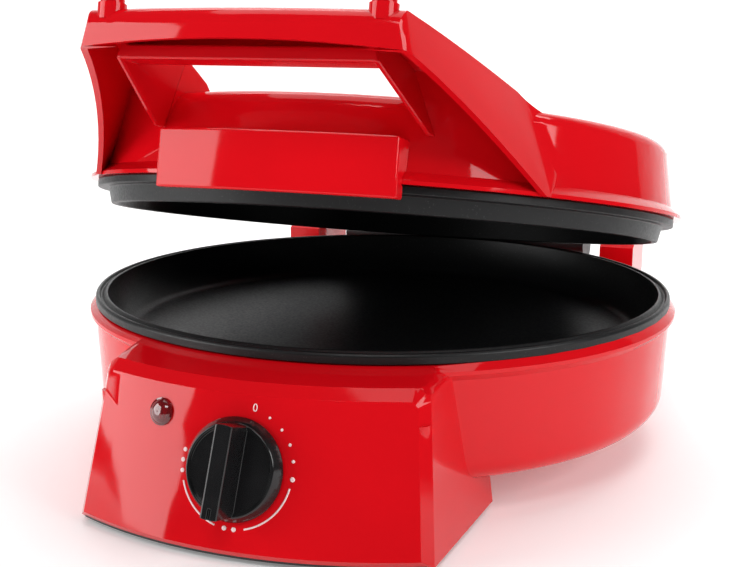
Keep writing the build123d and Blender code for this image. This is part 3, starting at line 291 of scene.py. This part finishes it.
# Control panel face, a cone about the pan's axis
PANEL_FOOT_R = 0.2085
PANEL_FOOT_Z = 0.0026
PANEL_SLOPE = 0.2725
PANEL_TILT = math.atan(PANEL_SLOPE)
KNOB_Z = 0.041
KNOB_RING_R = PANEL_FOOT_R - PANEL_SLOPE * (KNOB_Z - PANEL_FOOT_Z)

# Printed marks, measured along the panel from the knob's middle
PRINT_LIFT = 0.00012
ZERO_AT = (0.00706, 0.02747)
ZERO_INNER = (0.00062, 0.00130)
ZERO_OUTER = (0.00110, 0.00178)
GROWING_DOTS = (
    ((0.01440, 0.02364), 0.00060),
    ((0.02039, 0.01894), 0.00065),
    ((0.02449, 0.01280), 0.00070),
    ((0.02648, 0.00575), 0.00075),
    ((0.02656, -0.00194), 0.00110),
)
PAIR_OF_DOTS = (((0.00194, -0.02598), 0.00105), ((-0.00248, -0.02587), 0.00105))
THREE_DOTS_R = 0.0263
THREE_DOTS_TURNS = (261.1, 271.4, 281.5)
THREE_DOTS_SIZE = 0.00100
ARCS = ((0.0262, 103, 165.6), (0.0261, 195.7, 251.4))
ARC_WIDTH = 0.0008
ARC_STEP = 4
SPOT_MIDDLE = 0.02


def on_panel(across, up, lift):
    """Point on the panel: across and up from the knob's middle along the face, lifted off it."""
    z = KNOB_Z + up * math.cos(PANEL_TILT) + lift * math.sin(PANEL_TILT)
    turn = across / KNOB_RING_R
    r = PANEL_FOOT_R - PANEL_SLOPE * (z - PANEL_FOOT_Z) + lift / math.cos(PANEL_TILT)
    return Vector((r * math.sin(turn), -r * math.cos(turn), z))


def piece_from(name, mesh, material, body):
    """Object of a finished bmesh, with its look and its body."""
    data = bpy.data.meshes.new(name)
    bmesh.ops.recalc_face_normals(mesh, faces=mesh.faces)
    mesh.to_mesh(data)
    mesh.free()
    for face in data.polygons:
        face.use_smooth = True
    data.materials.append(material)
    piece = bpy.data.objects.new(name, data)
    scene.collection.objects.link(piece)
    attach(piece, body)


def print_strip(mesh, inner, outer, closed):
    """Printed strip with a thickness between an inner and an outer line of (across, up) points."""
    inner_low, inner_high, outer_low, outer_high = [
        [mesh.verts.new(on_panel(across, up, lift)) for across, up in line]
        for line in (inner, outer)
        for lift in (0, PRINT_LIFT)
    ]
    count = len(inner)
    for i in range(count if closed else count - 1):
        j = (i + 1) % count
        mesh.faces.new((inner_high[i], outer_high[i], outer_high[j], inner_high[j]))
        mesh.faces.new((outer_low[i], outer_low[j], outer_high[j], outer_high[i]))
        mesh.faces.new((inner_low[i], inner_high[i], inner_high[j], inner_low[j]))
    if not closed:
        for i in (0, count - 1):
            mesh.faces.new((inner_low[i], outer_low[i], outer_high[i], inner_high[i]))


def ring_line(centre, half_across, half_up, count=28):
    """Closed ellipse line round a centre."""
    turns = [2 * math.pi * i / count for i in range(count)]
    return [(centre[0] + half_across * math.sin(a), centre[1] + half_up * math.cos(a)) for a in turns]


def spot(centre, radius):
    """Round printed dot."""
    middle = radius * SPOT_MIDDLE
    return ring_line(centre, middle, middle), ring_line(centre, radius, radius), True


def at_dial(radius, degrees):
    """Place on the dial, degrees clockwise from its top."""
    a = math.radians(degrees)
    return (radius * math.sin(a), radius * math.cos(a))


def dial_arc(radius, start, end):
    """Printed arc round the knob, from start to end in degrees clockwise from the top."""
    steps = int((end - start) / ARC_STEP)
    turns = [start + (end - start) * i / steps for i in range(steps + 1)]
    inner = [at_dial(radius - ARC_WIDTH / 2, turn) for turn in turns]
    outer = [at_dial(radius + ARC_WIDTH / 2, turn) for turn in turns]
    return inner, outer, False


def make_dial_marks():
    """Dial print: a zero, growing dots and arcs with one, two and three dots as in a heat scale."""
    marks = [(ring_line(ZERO_AT, *ZERO_INNER), ring_line(ZERO_AT, *ZERO_OUTER), True)]
    marks += [spot(place, radius) for place, radius in GROWING_DOTS + PAIR_OF_DOTS]
    marks += [spot(at_dial(THREE_DOTS_R, turn), THREE_DOTS_SIZE) for turn in THREE_DOTS_TURNS]
    marks += [dial_arc(*arc) for arc in ARCS]
    mesh = bmesh.new()
    for inner, outer, closed in marks:
        print_strip(mesh, inner, outer, closed)
    piece_from("dial_marks", mesh, PRINT_WHITE, "base")


make_dial_marks()

# Stage: a floor that curves up behind into a backdrop, seen from above as a strip along the camera's view
FLOOR_FRONT = -3.0
FLOOR_BACK = 1.2
FLOOR_HALF = 4
CURVE_R = 0.8
CURVE_STEPS = 12
BACKDROP_TOP = 3.0
FLOOR_WHITE = (0.94, 0.94, 0.94)
FLOOR_GLOW = 0.16
WORLD_STRENGTH = 0.07

# Lamps: name, place, point it faces, width and height, power in watts
LAMP_AIM = (0, 0, 0.12)
KEY_ROLL = math.radians(-12)
LAMPS = (
    ("key_left", (-1.14, -0.78, 0.42), LAMP_AIM, (0.98, 0.82), 11.5),
    ("fill_right", (1.35, -0.45, 0.75), LAMP_AIM, (0.9, 0.7), 11),
    ("front_high", (0.35, -1.5, 1.7), LAMP_AIM, (0.9, 0.5), 10),
    ("top", (0.0, 0.15, 1.6), LAMP_AIM, (1.5, 1.2), 9),
    ("back_wash", (0.0, 1.1, 1.9), (0, 2.0, 0.6), (2.6, 0.8), 30),
)


def area_light(name, place, target, size, power):
    """Soft white rectangular lamp aimed at a point."""
    data = bpy.data.lights.new(name, "AREA")
    data.shape = "RECTANGLE"
    data.size, data.size_y = size
    data.energy = power
    lamp = bpy.data.objects.new(name, data)
    scene.collection.objects.link(lamp)
    lamp.location = place
    lamp.rotation_euler = (Vector(target) - Vector(place)).to_track_quat("-Z", "Y").to_euler()
    return lamp


def make_floor():
    """Pale floor and the backdrop that it curves up into."""
    profile = [(FLOOR_FRONT, 0.0), (FLOOR_BACK, 0.0)]
    for i in range(1, CURVE_STEPS + 1):
        a = math.radians(90 * i / CURVE_STEPS)
        profile.append((FLOOR_BACK + CURVE_R * math.sin(a), CURVE_R - CURVE_R * math.cos(a)))
    profile.append((FLOOR_BACK + CURVE_R, BACKDROP_TOP))
    turn = Matrix.Rotation(AZIMUTH, 4, "Z")
    mesh = bmesh.new()
    rows = []
    for y, z in profile:
        rows.append([mesh.verts.new(turn @ Vector((x, y, z))) for x in (-FLOOR_HALF, FLOOR_HALF)])
    for low, high in zip(rows, rows[1:]):
        mesh.faces.new((low[0], low[1], high[1], high[0]))
    data = bpy.data.meshes.new("stage_floor")
    mesh.to_mesh(data)
    mesh.free()
    for face in data.polygons:
        face.use_smooth = True
    white, _, _ = new_material(
        "stage_white",
        FLOOR_WHITE,
        0.6,
        Specular_IOR_Level=0.2,
        Emission_Color=(1, 1, 1, 1),
        Emission_Strength=FLOOR_GLOW,
    )
    data.materials.append(white)
    floor = bpy.data.objects.new("stage_floor", data)
    scene.collection.objects.link(floor)


def make_surroundings():
    """Dim white world round the studio."""
    world = bpy.data.worlds.new("studio")
    world.use_nodes = True
    background = world.node_tree.nodes["Background"]
    background.inputs["Color"].default_value = (1, 1, 1, 1)
    background.inputs["Strength"].default_value = WORLD_STRENGTH
    scene.world = world


make_floor()
make_surroundings()
lamps = {lamp[0]: area_light(*lamp) for lamp in LAMPS}
lamps["key_left"].rotation_euler.rotate_axis("Z", KEY_ROLL)
